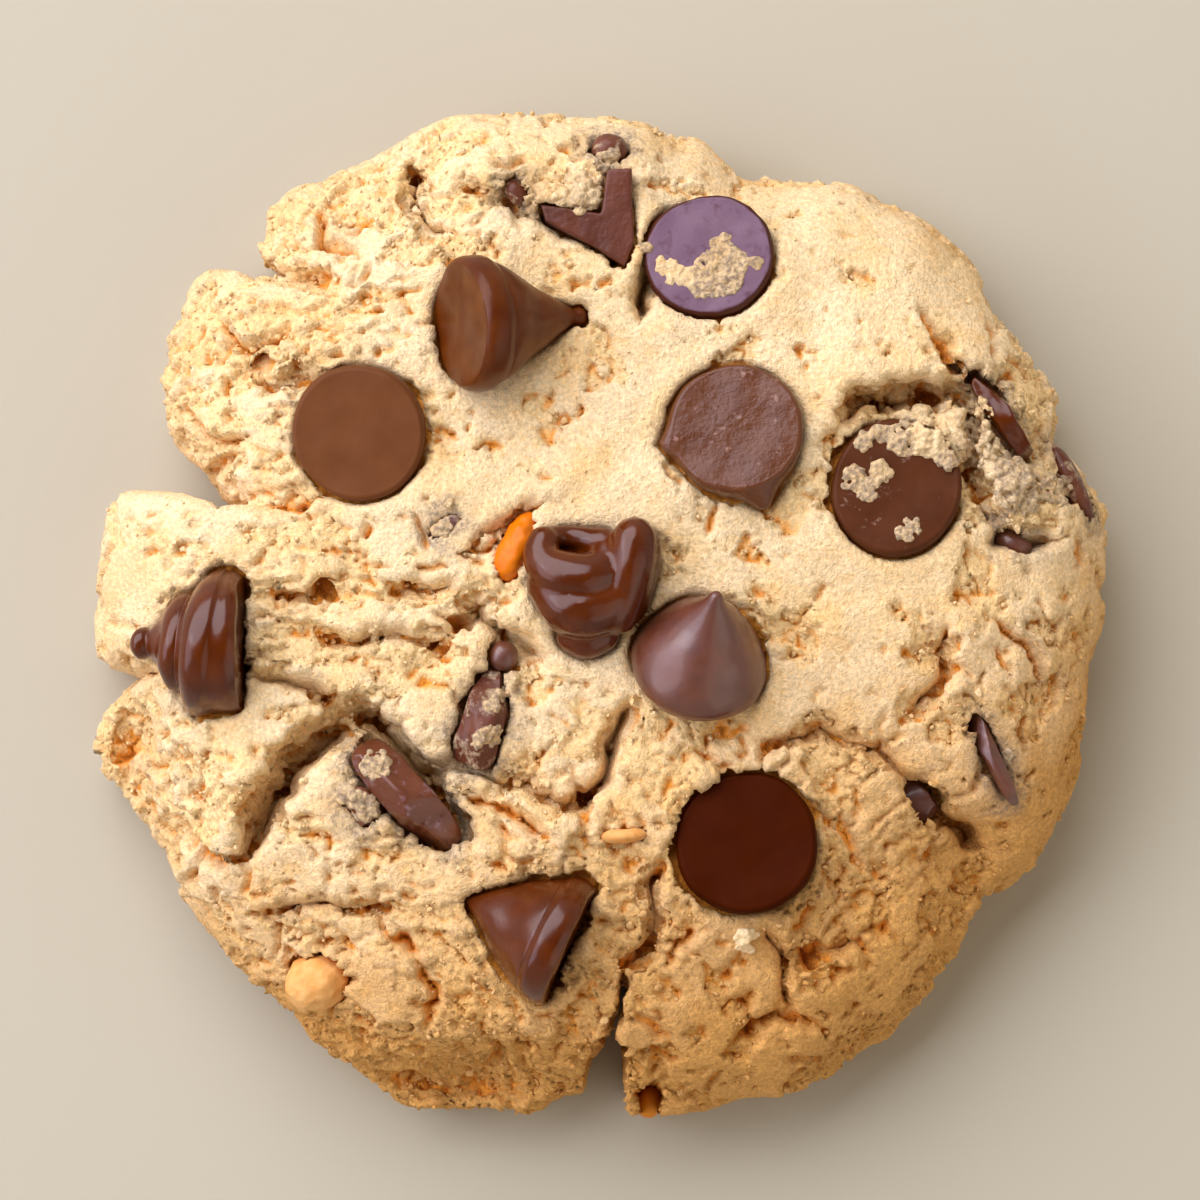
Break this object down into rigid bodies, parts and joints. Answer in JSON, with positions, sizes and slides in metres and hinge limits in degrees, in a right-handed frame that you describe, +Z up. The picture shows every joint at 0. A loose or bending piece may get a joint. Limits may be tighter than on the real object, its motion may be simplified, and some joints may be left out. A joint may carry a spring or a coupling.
{
  "type": "protein cookie",
  "caption": "Thick round protein cookie with cracked, crumbly dough, a split edge and chocolate chips baked into its top; lies flat on its underside.",
  "frame": {"origin": "middle of the bounding box on the flat underside", "axes": "+Z up from the underside; +Y towards the cookie's far side as it is seen, away from the split in its near edge"},
  "size_m": [0.076, 0.0757, 0.0238],
  "materials": {
    "dough": "matt baked crumb, pale on top and browner at the sides",
    "dark_chocolate": "melted and set again, satin to glossy",
    "milk_chocolate": "satin with faint specks",
    "butterscotch": "satin",
    "peanut": "matt toasted"
  },
  "bodies": {
    "root": {"dough": "dough", "chip_disc_bloomed": "dark_chocolate", "chip_disc_crumbed": "dark_chocolate", "chip_disc_glossy": "dark_chocolate", "chip_cone_upright": "dark_chocolate", "chip_cone_lower": "dark_chocolate", "chip_swirl_left": "dark_chocolate", "chip_heart": "dark_chocolate", "chip_broken_nub": "dark_chocolate", "chip_broken_patch": "dark_chocolate", "chip_edge_curl": "dark_chocolate", "chip_rim": "dark_chocolate", "chip_in_crack": "dark_chocolate", "chip_fragment_nub": "dark_chocolate", "chip_fragment": "dark_chocolate", "chip_diagonal": "dark_chocolate", "chip_diagonal_stub": "dark_chocolate", "chip_sliver": "dark_chocolate", "chip_in_hollow": "dark_chocolate", "chip_buried": "dark_chocolate", "chip_disc_left": "milk_chocolate", "chip_disc_rough": "milk_chocolate", "chip_broken": "milk_chocolate", "chip_cone_top": "milk_chocolate", "butterscotch_piece": "butterscotch", "butterscotch_foot": "butterscotch", "peanut_lump": "peanut", "peanut_sliver": "peanut"}
  },
  "joints": []
}
